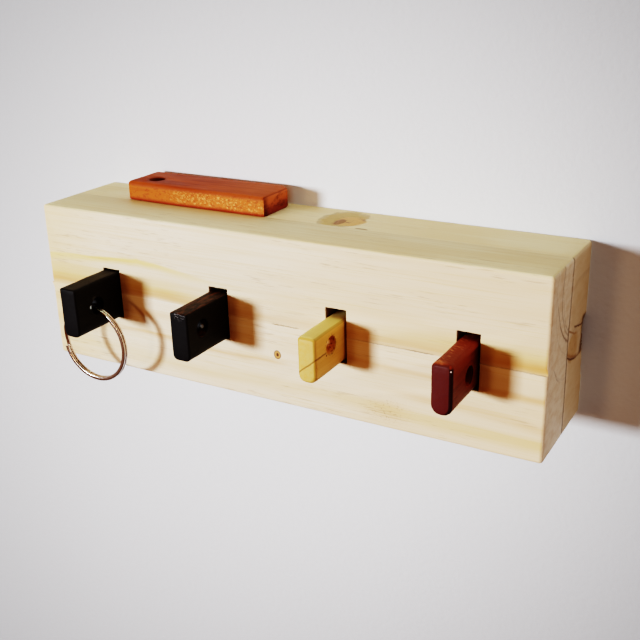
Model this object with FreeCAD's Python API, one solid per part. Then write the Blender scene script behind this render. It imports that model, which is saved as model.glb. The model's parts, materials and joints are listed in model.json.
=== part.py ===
import FreeCAD, Part
import os
from collections import namedtuple
from math import cos, pi, radians, sin, sqrt

from FreeCAD import Vector

# Wall key holder: a block glued up from three pine boards, with a row of slots in which key fobs stand.
# Millimetres. The origin is the middle of the back, which lies on the wall. X runs along the block to
# the right, Y runs into the wall, so the front faces -Y, and Z is up.

# The block: one board behind, and two strips glued edge to edge on its front
BLOCK_LENGTH = 166.0
UPPER_STRIP_HEIGHT = 26.0
LOWER_STRIP_HEIGHT = 25.0
STRIP_THICKNESS = 16.9
BACK_BOARD_THICKNESS = 16.6
FRONT_ROUND = 0.8  # sanded edges round the front face
END_ROUND = 1.0  # sanded edges round the two ends

# Torn corner on the back edge of the right end, an oval hollow
TEAR_ABOVE_MIDDLE = -1.6
TEAR_HALF_HEIGHT = 7.2
TEAR_DEPTH = 4.0

# Slots, sawn half out of each strip and on through the back board, in a row along the block
FIRST_SLOT_FROM_LEFT = 26.2  # from the block's left end to the middle of the slot
LAST_SLOT_FROM_RIGHT = 21.1
SLOT_SIDE_CLEARANCE = 0.3  # spare width beside the thickest fob
SLOT_TOP_CLEARANCE = 0.3  # spare height over the tallest fob
FOB_LEAN_CLEARANCE = 0.1  # each fob leans to the left wall of its slot
FOB_WALL_CLEARANCE = 0.5  # the fobs stop just short of the wall

# Plain holes in the back that go over two screw heads in the wall
HANG_HOLE_DIAMETER = 8.0
HANG_HOLE_DEPTH = 10.0
HANG_HOLE_SPACING = 120.0
HANG_HOLE_ABOVE_MIDDLE = 16.0

# Fobs: hardwood slips, each cut and rounded by hand, so that no two are alike. Each row starts with how far
# the fob's slot lies to the right of its place in an even row, as the slots aren't quite evenly spaced.
Fob = namedtuple(
    "Fob", "node slot_shift thickness height reach hole_from_end hole_above_base base_round top_round"
)
SEATED_FOBS = (
    Fob("black_fob_left", slot_shift=0.0, thickness=6.1, height=15.6, reach=19.7,
        hole_from_end=9.0, hole_above_base=7.9, base_round=0.9, top_round=0.7),
    Fob("black_fob_right", slot_shift=1.1333, thickness=6.1, height=14.7, reach=19.2,
        hole_from_end=6.9, hole_above_base=8.4, base_round=0.9, top_round=0.7),
    Fob("pale_fob", slot_shift=0.9667, thickness=5.7, height=13.4, reach=16.0,
        hole_from_end=8.7, hole_above_base=8.4, base_round=1.6, top_round=0.8),
    Fob("red_fob", slot_shift=0.0, thickness=5.9, height=14.1, reach=17.3,
        hole_from_end=11.5, hole_above_base=6.8, base_round=2.3, top_round=1.2),
)
FOB_END_BEVEL = 0.6  # rims of both ends, less than any of the rounds above
FOB_HOLE_DIAMETER = 5.2
FOB_HOLE_EASE = 0.25

# A spare fob that lies flat on top of the block
LOOSE_FOB_LENGTH = 52.6
LOOSE_FOB_WIDTH = 16.4
LOOSE_FOB_THICKNESS = 6.0
LOOSE_FOB_BEVEL = 0.8
LOOSE_FOB_CORNER_ROUND = 1.6
LOOSE_FOB_HOLE_FROM_END = 7.6
LOOSE_FOB_HOLE_FROM_FRONT = 6.8
LOOSE_FOB_FROM_LEFT = 21.4  # from the block's left end
LOOSE_FOB_FROM_WALL = 1.1

# Split ring: flat steel wire wound twice round, crossing from one turn to the other on the left
RING_DIAMETER = 25.0
RING_WIRE_WIDTH = 1.2  # across the ring
RING_WIRE_THICKNESS = 0.8  # along the ring's axis
RING_TURN_GAP = 0.1
RING_CROSSOVER_ANGLE = 172.0
RING_CROSSOVER_SPAN = 44.0
RING_CROSSOVER_STEPS = 8
RING_SEAT_CLEARANCE = 0.4

# Worked out from the sizes above
BLOCK_DEPTH = STRIP_THICKNESS + BACK_BOARD_THICKNESS
BLOCK_HEIGHT = UPPER_STRIP_HEIGHT + LOWER_STRIP_HEIGHT
BLOCK_LEFT = -BLOCK_LENGTH / 2
BLOCK_RIGHT = BLOCK_LENGTH / 2
BLOCK_BASE = -BLOCK_HEIGHT / 2
BLOCK_TOP = BLOCK_HEIGHT / 2
GLUE_LINE = BLOCK_BASE + LOWER_STRIP_HEIGHT
SLOT_WIDTH = max(fob.thickness for fob in SEATED_FOBS) + SLOT_SIDE_CLEARANCE
SLOT_HEIGHT = max(fob.height for fob in SEATED_FOBS) + SLOT_TOP_CLEARANCE
SLOT_FLOOR = GLUE_LINE - SLOT_HEIGHT / 2
SLOT_ROW_LENGTH = BLOCK_LENGTH - FIRST_SLOT_FROM_LEFT - LAST_SLOT_FROM_RIGHT
SLOT_SPACING = SLOT_ROW_LENGTH / (len(SEATED_FOBS) - 1)
RING_FOB = SEATED_FOBS[0]
SAME = 1e-6  # two lengths this near each other count as one


def box(low, high):
    """A block between two opposite corners."""
    low, high = Vector(*low), Vector(*high)
    return Part.makeBox(high.x - low.x, high.y - low.y, high.z - low.z, low)


def edges_along(shape, direction, where):
    """The straight edges of a shape that run along a direction and whose middle passes a test."""
    found = []
    for edge in shape.Edges:
        run = edge.Vertexes[-1].Point - edge.Vertexes[0].Point
        if run.Length > 0 and run.cross(direction).Length < SAME * run.Length and where(edge.CenterOfMass):
            found.append(edge)
    return found


def edges_across(shape, direction):
    """The edges of a shape that lie square to a direction."""
    reach = ("XLength", "YLength", "ZLength")[[direction.x, direction.y, direction.z].index(1)]
    return [edge for edge in shape.Edges if getattr(edge.BoundBox, reach) < SAME]


def slot_left(fob):
    """How far along X the left wall of a fob's slot lies."""
    place = FIRST_SLOT_FROM_LEFT + SLOT_SPACING * SEATED_FOBS.index(fob) + fob.slot_shift
    return BLOCK_LEFT + place - SLOT_WIDTH / 2


def slot_row():
    """The four slots as one shape, right through the block."""
    slots = [
        box(
            (slot_left(fob), -BLOCK_DEPTH - SLOT_WIDTH, SLOT_FLOOR),
            (slot_left(fob) + SLOT_WIDTH, SLOT_WIDTH, SLOT_FLOOR + SLOT_HEIGHT),
        )
        for fob in SEATED_FOBS
    ]
    return Part.makeCompound(slots)


def glued_block():
    """The whole block as it leaves the sander: its front and end edges rounded, its back left sharp."""
    block = box((BLOCK_LEFT, -BLOCK_DEPTH, BLOCK_BASE), (BLOCK_RIGHT, 0, BLOCK_TOP))
    ends = edges_along(block, Vector(0, 1, 0), lambda middle: True)
    block = block.makeFillet(END_ROUND, ends)
    front = [edge for edge in edges_across(block, Vector(0, 1, 0)) if edge.BoundBox.YMin < -SAME]
    return block.makeFillet(FRONT_ROUND, front)


def torn_corner():
    """An oval hollow on the back edge of the right end, where a knot tore out."""
    corner = Vector(BLOCK_RIGHT, 0, TEAR_ABOVE_MIDDLE)
    top = corner + Vector(0, 0, TEAR_HALF_HEIGHT)
    side = corner + Vector(TEAR_DEPTH, 0, 0)
    curve = Part.Ellipse(top, side, corner)
    half = Part.Arc(curve, 0, pi).toShape()
    outline = Part.Wire([half, Part.makeLine(half.Vertexes[-1].Point, half.Vertexes[0].Point)])
    return Part.Face(outline).revolve(corner, Vector(0, 0, -1), 360)


def hang_holes():
    """Two blind holes drilled into the back."""
    holes = [
        Part.makeCylinder(
            HANG_HOLE_DIAMETER / 2,
            HANG_HOLE_DEPTH,
            Vector(side * HANG_HOLE_SPACING / 2, 0, HANG_HOLE_ABOVE_MIDDLE),
            Vector(0, -1, 0),
        )
        for side in (-1, 1)
    ]
    return Part.makeCompound(holes)


def board(block, low, high):
    """The part of the block that one board fills, between two corners."""
    return block.common(box(low, high)).Solids[0]


def boards():
    """The three boards of the block, with the slots and holes cut."""
    block = glued_block().cut(slot_row())
    joint = -BACK_BOARD_THICKNESS
    back = board(block, (BLOCK_LEFT, joint, BLOCK_BASE), (BLOCK_RIGHT, 0, BLOCK_TOP))
    return {
        "back_board": back.cut(hang_holes()).cut(torn_corner()),
        "upper_front_strip": board(
            block, (BLOCK_LEFT, -BLOCK_DEPTH, GLUE_LINE), (BLOCK_RIGHT, joint, BLOCK_TOP)
        ),
        "lower_front_strip": board(
            block, (BLOCK_LEFT, -BLOCK_DEPTH, BLOCK_BASE), (BLOCK_RIGHT, joint, GLUE_LINE)
        ),
    }


def eased_hole(centre, direction, depth):
    """A drilled hole through a slip of wood, with the rim eased on both faces."""
    radius = FOB_HOLE_DIAMETER / 2
    start = centre - direction * (depth / 2)
    rim = radius + FOB_HOLE_EASE
    hole = Part.makeCylinder(radius, depth, start, direction)
    near = Part.makeCone(rim, radius, FOB_HOLE_EASE, start, direction)
    far = Part.makeCone(rim, radius, FOB_HOLE_EASE, start + direction * depth, -direction)
    return hole.fuse([near, far])


def seated_fob(fob):
    """A fob that stands on edge in its slot: long edges rounded, both ends bevelled, then drilled."""
    left = slot_left(fob) + FOB_LEAN_CLEARANCE
    outer, inner = -BLOCK_DEPTH - fob.reach, -FOB_WALL_CLEARANCE
    middle = SLOT_FLOOR + fob.height / 2
    slip = box((left, outer, SLOT_FLOOR), (left + fob.thickness, inner, SLOT_FLOOR + fob.height))
    along = Vector(0, 1, 0)
    low = edges_along(slip, along, lambda at: at.z < middle)
    slip = slip.makeFillet(fob.base_round, low)
    corners = (left, left + fob.thickness)
    high = edges_along(
        slip, along, lambda at: at.z > middle and min(abs(at.x - corner) for corner in corners) < SAME
    )
    slip = slip.makeFillet(fob.top_round, high)
    slip = slip.makeChamfer(FOB_END_BEVEL, edges_across(slip, along))
    return slip.cut(eased_hole(fob_hole(fob), Vector(1, 0, 0), fob.thickness))


def fob_hole(fob):
    """The middle of a seated fob's hole."""
    return Vector(
        slot_left(fob) + FOB_LEAN_CLEARANCE + fob.thickness / 2,
        -BLOCK_DEPTH - fob.reach + fob.hole_from_end,
        SLOT_FLOOR + fob.hole_above_base,
    )


def loose_fob():
    """The spare fob, flat on top of the block with its hole to the left."""
    left, front = BLOCK_LEFT + LOOSE_FOB_FROM_LEFT, -LOOSE_FOB_FROM_WALL - LOOSE_FOB_WIDTH
    slip = box(
        (left, front, BLOCK_TOP),
        (left + LOOSE_FOB_LENGTH, -LOOSE_FOB_FROM_WALL, BLOCK_TOP + LOOSE_FOB_THICKNESS),
    )
    slip = slip.makeFillet(LOOSE_FOB_CORNER_ROUND, edges_along(slip, Vector(0, 0, 1), lambda at: True))
    slip = slip.makeChamfer(LOOSE_FOB_BEVEL, edges_across(slip, Vector(0, 0, 1)))
    hole = Vector(
        left + LOOSE_FOB_HOLE_FROM_END,
        front + LOOSE_FOB_HOLE_FROM_FRONT,
        BLOCK_TOP + LOOSE_FOB_THICKNESS / 2,
    )
    return slip.cut(eased_hole(hole, Vector(0, 0, 1), LOOSE_FOB_THICKNESS))


def ring_centre():
    """The middle of the ring as it hangs in its fob's hole, just clear of the rim that carries it."""
    inner = RING_DIAMETER / 2 - RING_WIRE_WIDTH
    half_width = RING_WIRE_THICKNESS + RING_TURN_GAP / 2
    rise = inner - sqrt(inner**2 - (RING_FOB.thickness / 2) ** 2)
    rim = sqrt((FOB_HOLE_DIAMETER / 2) ** 2 - half_width**2)
    hang = rim - RING_WIRE_WIDTH / 2 - rise - RING_SEAT_CLEARANCE
    wire_radius = RING_DIAMETER / 2 - RING_WIRE_WIDTH / 2
    return fob_hole(RING_FOB) - Vector(0, 0, hang + wire_radius)


def wire_section(angle, offset):
    """The wire's flat section at an angle round the ring, moved along the ring's axis by an offset."""
    outer = RING_DIAMETER / 2
    inner = outer - RING_WIRE_WIDTH
    out = Vector(cos(radians(angle)), 0, sin(radians(angle)))
    side = Vector(0, 1, 0)
    near, far = offset - RING_WIRE_THICKNESS / 2, offset + RING_WIRE_THICKNESS / 2
    corners = [out * inner + side * near, out * outer + side * near,
               out * outer + side * far, out * inner + side * far]
    return Part.makePolygon(corners + corners[:1])


def split_ring():
    """Two flat turns joined by a crossover, with the wire's two cut ends on either side of it."""
    offset = (RING_WIRE_THICKNESS + RING_TURN_GAP) / 2
    start = RING_CROSSOVER_ANGLE - RING_CROSSOVER_SPAN / 2
    end = RING_CROSSOVER_ANGLE + RING_CROSSOVER_SPAN / 2
    axis = Vector(0, -1, 0)
    turns = [
        Part.Face(wire_section(end, place)).revolve(Vector(), axis, 360 - RING_CROSSOVER_SPAN)
        for place in (-offset, offset)
    ]
    crossover = []
    for step in range(RING_CROSSOVER_STEPS + 1):
        share = step / RING_CROSSOVER_STEPS
        angle = start + (end - start) * share
        crossover.append(wire_section(angle, -offset * cos(pi * share)))
    crossing = Part.makeLoft(crossover, True)
    ring = turns[0].fuse([turns[1], crossing])
    ring.translate(ring_centre())
    return ring.Solids[0]


def sub_parts():
    """Every sub-part by its name."""
    parts = boards()
    for fob in SEATED_FOBS:
        parts[fob.node] = seated_fob(fob)
    parts["loose_fob"] = loose_fob()
    parts["split_ring"] = split_ring()
    return parts


os.makedirs("parts", exist_ok=True)
for node, shape in sub_parts().items():
    assert shape.isValid(), node
    shape.exportStep(f"parts/{node}.step")
    print(node, len(shape.Solids), round(shape.Volume, 1), shape.BoundBox)
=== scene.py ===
import bmesh
import bpy
import json
import math
from collections import namedtuple

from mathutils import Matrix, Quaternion, Vector, noise
from mathutils.geometry import delaunay_2d_cdt


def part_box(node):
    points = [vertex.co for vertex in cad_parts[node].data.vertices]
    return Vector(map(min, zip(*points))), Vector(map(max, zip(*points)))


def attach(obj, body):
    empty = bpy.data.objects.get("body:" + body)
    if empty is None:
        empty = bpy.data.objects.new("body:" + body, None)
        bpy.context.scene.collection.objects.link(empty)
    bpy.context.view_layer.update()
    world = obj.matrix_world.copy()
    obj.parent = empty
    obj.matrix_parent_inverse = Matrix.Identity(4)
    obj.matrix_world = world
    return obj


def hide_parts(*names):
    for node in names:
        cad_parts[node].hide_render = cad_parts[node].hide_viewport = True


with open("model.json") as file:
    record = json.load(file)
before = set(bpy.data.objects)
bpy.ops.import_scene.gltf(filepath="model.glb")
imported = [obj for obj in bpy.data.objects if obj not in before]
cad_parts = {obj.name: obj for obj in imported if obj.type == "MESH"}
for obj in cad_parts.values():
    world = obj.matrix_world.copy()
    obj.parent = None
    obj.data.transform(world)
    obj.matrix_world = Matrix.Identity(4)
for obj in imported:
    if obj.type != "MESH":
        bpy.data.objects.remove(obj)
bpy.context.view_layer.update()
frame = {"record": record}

MM = 0.001

# The camera stands to the right of the block and above it, an arm's length from the wall, and looks down
# and to the left along the row of fobs. It is tipped a little, as a camera held by hand is.
EYE = Vector((0.140506, -0.244143, 0.099766))
LOOKS_AT = Vector((0.0183, -0.0335, 0.003397))
TIP = math.radians(-1.531)


def placed(name, data):
    """A new thing in the scene."""
    thing = bpy.data.objects.new(name, data)
    bpy.context.scene.collection.objects.link(thing)
    return thing


camera_data = bpy.data.cameras.new("camera")
camera_data.sensor_width = 36
camera_data.lens = 53.11
camera_data.clip_start = 0.01
camera_data.clip_end = 50
camera = placed("camera", camera_data)
camera.location = EYE
camera.rotation_mode = "QUATERNION"
camera.rotation_quaternion = (EYE - LOOKS_AT).to_track_quat("Z", "Y") @ Quaternion((0, 0, 1), TIP)
bpy.context.scene.camera = camera
bpy.context.scene.view_settings.view_transform = "Filmic"
bpy.context.scene.view_settings.look = "Very High Contrast"


# The wall behind is painted plaster, pale and neutral, as a roller leaves it. Painted shade darkens it away
# from the middle of the view, as a lens darkens a picture's corners, and it is clear from behind, so that the
# back of the block shows. Shading is written as sums on the outputs of nodes: a Tone is one such output.
class Tone:
    """One output of a node, in the material or world that it shades."""

    def __init__(self, tree, socket):
        self.tree = tree
        self.socket = socket

    def node(self, kind, settings=None, inputs=None, output=0):
        """Adds one node, sets it up, joins or sets its inputs, and gives one of its outputs."""
        made = self.tree.nodes.new(kind)
        for name, value in (settings or {}).items():
            if name == "stops":
                self.set_stops(made.color_ramp.elements, value)
            else:
                setattr(made, name, value)
        for name, value in (inputs or {}).items():
            if isinstance(value, Tone):
                self.tree.links.new(value.socket, made.inputs[name])
            else:
                made.inputs[name].default_value = value
        return Tone(self.tree, made.outputs[output])

    @staticmethod
    def set_stops(elements, stops):
        while len(elements) < len(stops):
            elements.new(1)
        for element, (place, shade) in zip(elements, stops):
            element.position = place
            element.color = (*shade, 1)

    def sum(self, operation, other, turned=False):
        """A node that works out one operation on two values, number by number where they are vectors."""
        first, second = (other, self) if turned else (self, other)
        vectors = self.socket.type == "VECTOR"
        kind = "ShaderNodeVectorMath" if vectors else "ShaderNodeMath"
        return self.node(kind, {"operation": operation}, {0: first, 1: second})

    def __add__(self, other):
        return self.sum("ADD", other)

    def __sub__(self, other):
        return self.sum("SUBTRACT", other)

    def __rsub__(self, other):
        return self.sum("SUBTRACT", other, True)

    def __mul__(self, other):
        return self.sum("MULTIPLY", other)

    def __truediv__(self, other):
        return self.sum("DIVIDE", other)

    def __pow__(self, other):
        return self.sum("POWER", other)

    def at_least(self, other):
        return self.sum("MAXIMUM", other)

    def at_most(self, other):
        return self.sum("MINIMUM", other)

    def size(self):
        return self.node("ShaderNodeMath", {"operation": "ABSOLUTE"}, {0: self})

    def length(self):
        return self.node("ShaderNodeVectorMath", {"operation": "LENGTH"}, {0: self}, "Value")

    def axes(self):
        made = self.tree.nodes.new("ShaderNodeSeparateXYZ")
        self.tree.links.new(self.socket, made.inputs[0])
        return [Tone(self.tree, out) for out in made.outputs]

    def rise(self, start, end):
        """0 where the value is at start, 1 at end, eased in between. Start may lie above end."""
        settings = {"interpolation_type": "SMOOTHSTEP", "clamp": True}
        low, high = (0, 1) if start < end else (1, 0)
        inputs = {"Value": self, 1: min(start, end), 2: max(start, end), 3: low, 4: high}
        return self.node("ShaderNodeMapRange", settings, inputs)

    def near(self, centre, reach):
        """1 where the value is at the centre, falling to 0 at reach to either side."""
        return (self - centre).size().rise(reach, 0)

    def within(self, low, high, soft=0.1):
        """1 between two values, falling to 0 over a soft margin outside them."""
        return self.rise(low - soft, low) * self.rise(high + soft, high)

    def path(self, points):
        """The height, at this place along it, of a line drawn through points of place and height."""
        first, last = points[0][0], points[-1][0]
        low = min(height for _, height in points)
        span = max(height for _, height in points) - low or 1
        stops = [((at - first) / (last - first), ((height - low) / span,) * 3) for at, height in points]
        share = (self - first) / (last - first)
        return share.node("ShaderNodeValToRGB", {"stops": stops}, {0: share}) * span + low

    def mixed(self, first, second, share):
        """A blend of two colours, each a tone or three numbers: the first where share is 0."""
        first, second = (c if isinstance(c, Tone) else (*c, 1) for c in (first, second))
        # A Mix node takes its colours in at sockets 6 and 7, and gives their blend at socket 2
        return self.node("ShaderNodeMix", {"data_type": "RGBA"}, {0: share, 6: first, 7: second}, 2)

    def over(self, other, share):
        return self.mixed(self, other, share)

    def noise(self, stretch, detail=2.0, roughness=0.5):
        """Smooth noise from 0 to 1 at a place in millimetres. Stretch says how many patches fit in one."""
        inputs = {"Vector": self * stretch, "Scale": 1, "Detail": detail, "Roughness": roughness}
        return self.node("ShaderNodeTexNoise", {}, inputs)

    def flecks(self, stretch):
        """How far a place in millimetres lies from the nearest of many scattered points."""
        return self.node("ShaderNodeTexVoronoi", {}, {"Vector": self * stretch, "Scale": 1})


def finish(name):
    """A new material with its shader, its place in millimetres and its outward direction."""
    material = bpy.data.materials.new(name)
    material.use_nodes = True
    tree = material.node_tree
    shader = tree.nodes["Principled BSDF"]
    start = Tone(tree, shader.outputs[0])
    place = start.node("ShaderNodeTexCoord", output="Object") * (1 / MM, 1 / MM, 1 / MM)
    facing = start.node("ShaderNodeTexCoord", output="Normal")
    return material, shader, place, facing


def paint(shader, **sockets):
    """Joins tones, or sets constants, on a shader's sockets, written with _ for a space."""
    for name, value in sockets.items():
        socket = shader.inputs[name.replace("_", " ")]
        if isinstance(value, Tone):
            value.tree.links.new(value.socket, socket)
        else:
            socket.default_value = value


def relief(height, depth):
    """The surface direction that a height in millimetres gives."""
    return height.node("ShaderNodeBump", {}, {"Height": height, "Strength": depth, "Distance": MM})


WALL_HALF = 1.5
WALL_GAP = 0.3 * MM
WALL_PALE = (0.70, 0.715, 0.75)
WALL_MOTTLED = (0.67, 0.685, 0.72)
WALL_PAINTED_VIGNETTE = (0.265, 0.27, 0.285)
AIM = (LOOKS_AT - EYE).normalized()


def wall_finish():
    """Matt paint, faintly mottled and pitted."""
    material, shader, place, _ = finish("wall_paint")
    ray = place - tuple(EYE / MM)
    pair = {0: ray, 1: tuple(AIM)}
    ahead = ray.node("ShaderNodeVectorMath", {"operation": "DOT_PRODUCT"}, pair, "Value")
    aside = ray.node("ShaderNodeVectorMath", {"operation": "CROSS_PRODUCT"}, pair).length()
    pale = place.mixed(WALL_PALE, WALL_MOTTLED, place.noise((0.012, 0.012, 0.012), 3))
    # Painted shade: the wall darkens away from the middle of the view, as a lens darkens a picture's corners
    pale = pale.over(WALL_PAINTED_VIGNETTE, (aside / ahead.at_least(1)).rise(0.10, 0.60))
    paint(shader, Base_Color=pale, Roughness=0.9, Normal=relief(place.noise((0.6, 0.6, 0.6), 4), 0.15))
    tree = material.node_tree
    from_behind = pale.node("ShaderNodeNewGeometry", output="Backfacing")
    clear = pale.node("ShaderNodeBsdfTransparent")
    painted = Tone(tree, shader.outputs[0])
    both = pale.node("ShaderNodeMixShader", {}, {0: from_behind, 1: painted, 2: clear})
    tree.links.new(both.socket, tree.nodes["Material Output"].inputs["Surface"])
    return material


wall_mesh = bpy.data.meshes.new("wall")
corners = [(x * WALL_HALF, WALL_GAP, z * WALL_HALF) for x, z in ((-1, -1), (1, -1), (1, 1), (-1, 1))]
wall_mesh.from_pydata(corners, [], [(0, 1, 2, 3)])
wall = placed("wall", wall_mesh)
wall.data.materials.append(wall_finish())


# Daylight comes nearly level from a window on the left, a weak warm lamp stands nearer the camera, and the
# room behind fills their shadows. A wash lights the wall alone, a ceiling light the tops, a doorway the
# right ends but not the wall, and a last light, which the wall doesn't block, the back.
def soft_light(name, toward, distance, width, height, watts, tint):
    """A lamp with a rectangular face that shines on the block from one direction."""
    data = bpy.data.lights.new(name, "AREA")
    data.shape = "RECTANGLE"
    data.size, data.size_y = width, height
    data.energy, data.color = watts, tint
    light = placed(name, data)
    light.location = Vector(toward).normalized() * distance
    light.rotation_euler = Vector(toward).to_track_quat("Z", "Y").to_euler()
    light.visible_camera = False
    return light


def wall_alone(state):
    """A list for a light that holds the wall alone, either to take it in or to leave it out."""
    members = bpy.data.collections.new(f"wall_{state.lower()}")
    members.objects.link(wall)
    members.collection_objects[0].light_linking.link_state = state
    return members


soft_light("window", (-0.575, -1, 0.07), 2.5, 0.44, 0.30, 74, (0.92, 1.0, 1.05))
soft_light("lamp", (-0.2, -1, 0.0), 2.5, 0.30, 0.20, 6.8, (1.0, 0.6, 0.3))
wall_wash = soft_light("wall_wash", (0.3, -1, 0.3), 2.5, 1.5, 1.5, 7.2, (0.65, 0.95, 1.05))
wall_wash.light_linking.receiver_collection = wall_alone("INCLUDE")
soft_light("ceiling", (0.0, -0.03, 1.0), 1.0, 0.6, 0.04, 1.3, (0.55, 1.0, 0.66))
doorway = soft_light("doorway", (1.0, -0.10, 0.22), 2.5, 0.8, 0.8, 9.8, (1.0, 0.98, 0.80))
doorway.light_linking.receiver_collection = wall_alone("EXCLUDE")
back_light = soft_light("back_light", (-0.5, 1, -0.7), 0.6, 0.14, 0.04, 2.1, (1.0, 0.97, 0.94))
back_light.light_linking.blocker_collection = wall_alone("EXCLUDE")

ROOM_STOPS = [(0.0, (0.05, 0.018, 0.005)), (0.5, (0.22, 0.066, 0.014)), (1.0, (0.40, 0.19, 0.07))]
SEEN_ROOM = (0.8, 0.8, 0.8)
world = bpy.data.worlds.new("room")
world.use_nodes = True
background = world.node_tree.nodes["Background"]
sky = Tone(world.node_tree, background.outputs[0])
height = sky.node("ShaderNodeTexCoord", output="Generated").axes()[2] * 0.5 + 0.5
glow = height.node("ShaderNodeValToRGB", {"stops": ROOM_STOPS}, {0: height})
seen = sky.node("ShaderNodeLightPath", output="Is Camera Ray")
world.node_tree.links.new(glow.over(SEEN_ROOM, seen).socket, background.inputs["Color"])
bpy.context.scene.world = world


# Pine: three planed boards, two strips edge to edge in front of a wide one, glued and sanded as one block.
# The slots were sawn half out of each strip and on through the board behind, and their mouths are chipped.
# Each board's rings lie round a pith of its own, so they are wide on the front and narrow on the end.
CREAM = (0.78, 0.675, 0.52)
CREAM_DEEP = (0.70, 0.53, 0.325)
BUFF = (0.66, 0.48, 0.205)
YELLOW = (0.73, 0.54, 0.18)
TAN = (0.56, 0.31, 0.095)
RESIN = (0.36, 0.24, 0.13)
END_PALE = (0.74, 0.66, 0.54)
END_DEEP = (0.61, 0.47, 0.32)
END_SHADE_BY_WALL = (0.49, 0.37, 0.215)
END_LINE = (0.16, 0.07, 0.025)
SAW_BURN_AND_SHADE = (0.13, 0.048, 0.018)
GLUE_DARK = (0.10, 0.045, 0.018)
BARK_AND_SHADE = (0.10, 0.045, 0.02)
KNOT_OLIVE = (0.50, 0.35, 0.14)
KNOT_TAN = (0.60, 0.36, 0.14)
KNOT_BROWN = (0.30, 0.15, 0.06)
KNOT_DARK = (0.10, 0.035, 0.012)
KNOT_PALE = (0.50, 0.345, 0.185)
PIN_KNOT = (0.50, 0.27, 0.09)
TOP_PALE = (0.78, 0.70, 0.46)
TOP_DEEP = (0.70, 0.56, 0.30)
SEAM_PALE = (0.90, 0.84, 0.70)

SEATED = ("black_fob_left", "black_fob_right", "pale_fob", "red_fob")
seats = [[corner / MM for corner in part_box(node)] for node in SEATED]
strip_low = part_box("upper_front_strip")[0] / MM
board_low, board_high = (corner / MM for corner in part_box("back_board"))
FRONT, JOINT, WALL = strip_low.y, board_low.y, board_high.y
GLUE_LINE, TOP, BASE = strip_low.z, board_high.z, board_low.z
LEFT, RIGHT = board_low.x, board_high.x
SIDE_CLEARANCE = 0.3
LEAN_CLEARANCE = 0.1
TOP_CLEARANCE = 0.3
SLOT_WIDTH = max(high.x - low.x for low, high in seats) + SIDE_CLEARANCE
SLOT_FLOOR = min(low.z for low, _ in seats)
SLOT_TOP = max(high.z for _, high in seats) + TOP_CLEARANCE
slot_middles = [low.x - LEAN_CLEARANCE + SLOT_WIDTH / 2 for low, _ in seats]

END_ROUND = 1.0
TEAR_REACH = 3.4
TEAR_DEPTH = 2.0
TEAR_LAYERS = 13
FIRST_TEAR_LAYER = 4.4
TEAR_LAYER_GAP = 0.3
TEAR_SHARES = ((-14.0, 0), (-12.0, 0.3), (-6.0, 0.5), (-1.0, 0.8), (2.0, 1), (3.4, 0.75), (4.8, 0))
HANG_HOLE_RADIUS = 4.0
HANG_HOLE_DEPTH = 10.0
HANG_HOLE_SIDES = 32
EASE_STEPS = 4
BEND_STEPS = 4

# One corner of an outline: where it is, how far it is rounded, and the spacing and the two eased edges,
# to the near and the far face, of the run that starts at it. An ease may be a function of the place.
Corner = namedtuple("Corner", "at bend step near far", defaults=(0, 4, 0.1, 0.1))


def walk(corners):
    """The points of an outline, each with its ease to the near and to the far face."""
    points = []
    for index, corner in enumerate(corners):
        at = Vector(corner.at)
        before = corners[index - 1]
        after = corners[(index + 1) % len(corners)]
        back, on = (Vector(before.at) - at).normalized(), (Vector(after.at) - at).normalized()
        turns = [math.pi / 2 * step / BEND_STEPS for step in range(BEND_STEPS + 1)] if corner.bend else [0]
        centre = at + (back + on) * corner.bend
        for turn in turns:
            share = turn / (math.pi / 2)
            place = centre - corner.bend * (on * math.cos(turn) + back * math.sin(turn))
            eases = [eased(before, side, place) * (1 - share) + eased(corner, side, place) * share
                     for side in ("near", "far")]
            points.append((place, *eases))
        start, end = at + on * corner.bend, Vector(after.at) - on * after.bend
        count = max(1, round((end - start).length / corner.step))
        for step in range(1, count):
            place = start.lerp(end, step / count)
            points.append((place, eased(corner, "near", place), eased(corner, "far", place)))
    return points


def eased(corner, side, place):
    """How far the run that starts at a corner is eased at a place, to the near or the far face."""
    ease = getattr(corner, side)
    return ease(place) if callable(ease) else ease


def shared_out(loops):
    """Triangles that fill an outline but not its holes, none of them with three points in line."""
    points, rims, owners = [], [], []
    for number, loop in enumerate(loops):
        start, count = len(points), len(loop)
        points += [flat.to_2d() for flat in loop]
        rims += [(start + step, start + (step + 1) % count) for step in range(count)]
        owners += [number] * count
    inside, same_place = 1, 1e-7
    found = delaunay_2d_cdt(points, rims, [], inside, same_place)
    triangles, sources = found[2], found[3]
    parts = [tuple(sources[corner][0] for corner in triangle) for triangle in triangles]
    holes = [{number} for number in range(1, len(loops))]
    return [part for part in parts if {owners[point] for point in part} not in holes]


def between_rings(first, second, count):
    """The faces that join two rings of so many points, given the number of each ring's first point."""
    pairs = [(here, (here + 1) % count) for here in range(count)]
    return [(first + here, first + after, second + after, second + here) for here, after in pairs]


def closed_mesh(name, verts, faces):
    """A mesh whose faces all look outwards."""
    mesh = bpy.data.meshes.new(name)
    mesh.from_pydata(verts, [], faces)
    body = bmesh.new()
    body.from_mesh(mesh)
    bmesh.ops.recalc_face_normals(body, faces=body.faces)
    body.to_mesh(mesh)
    body.free()
    return mesh


def smoothed(mesh, crease, curved=None):
    """Shades a mesh's first so many faces as curved, or all, up to a crease of so many degrees."""
    for polygon in mesh.polygons:
        polygon.use_smooth = curved is None or polygon.index < curved
    mesh.set_sharp_from_angle(angle=math.radians(crease))


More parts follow.
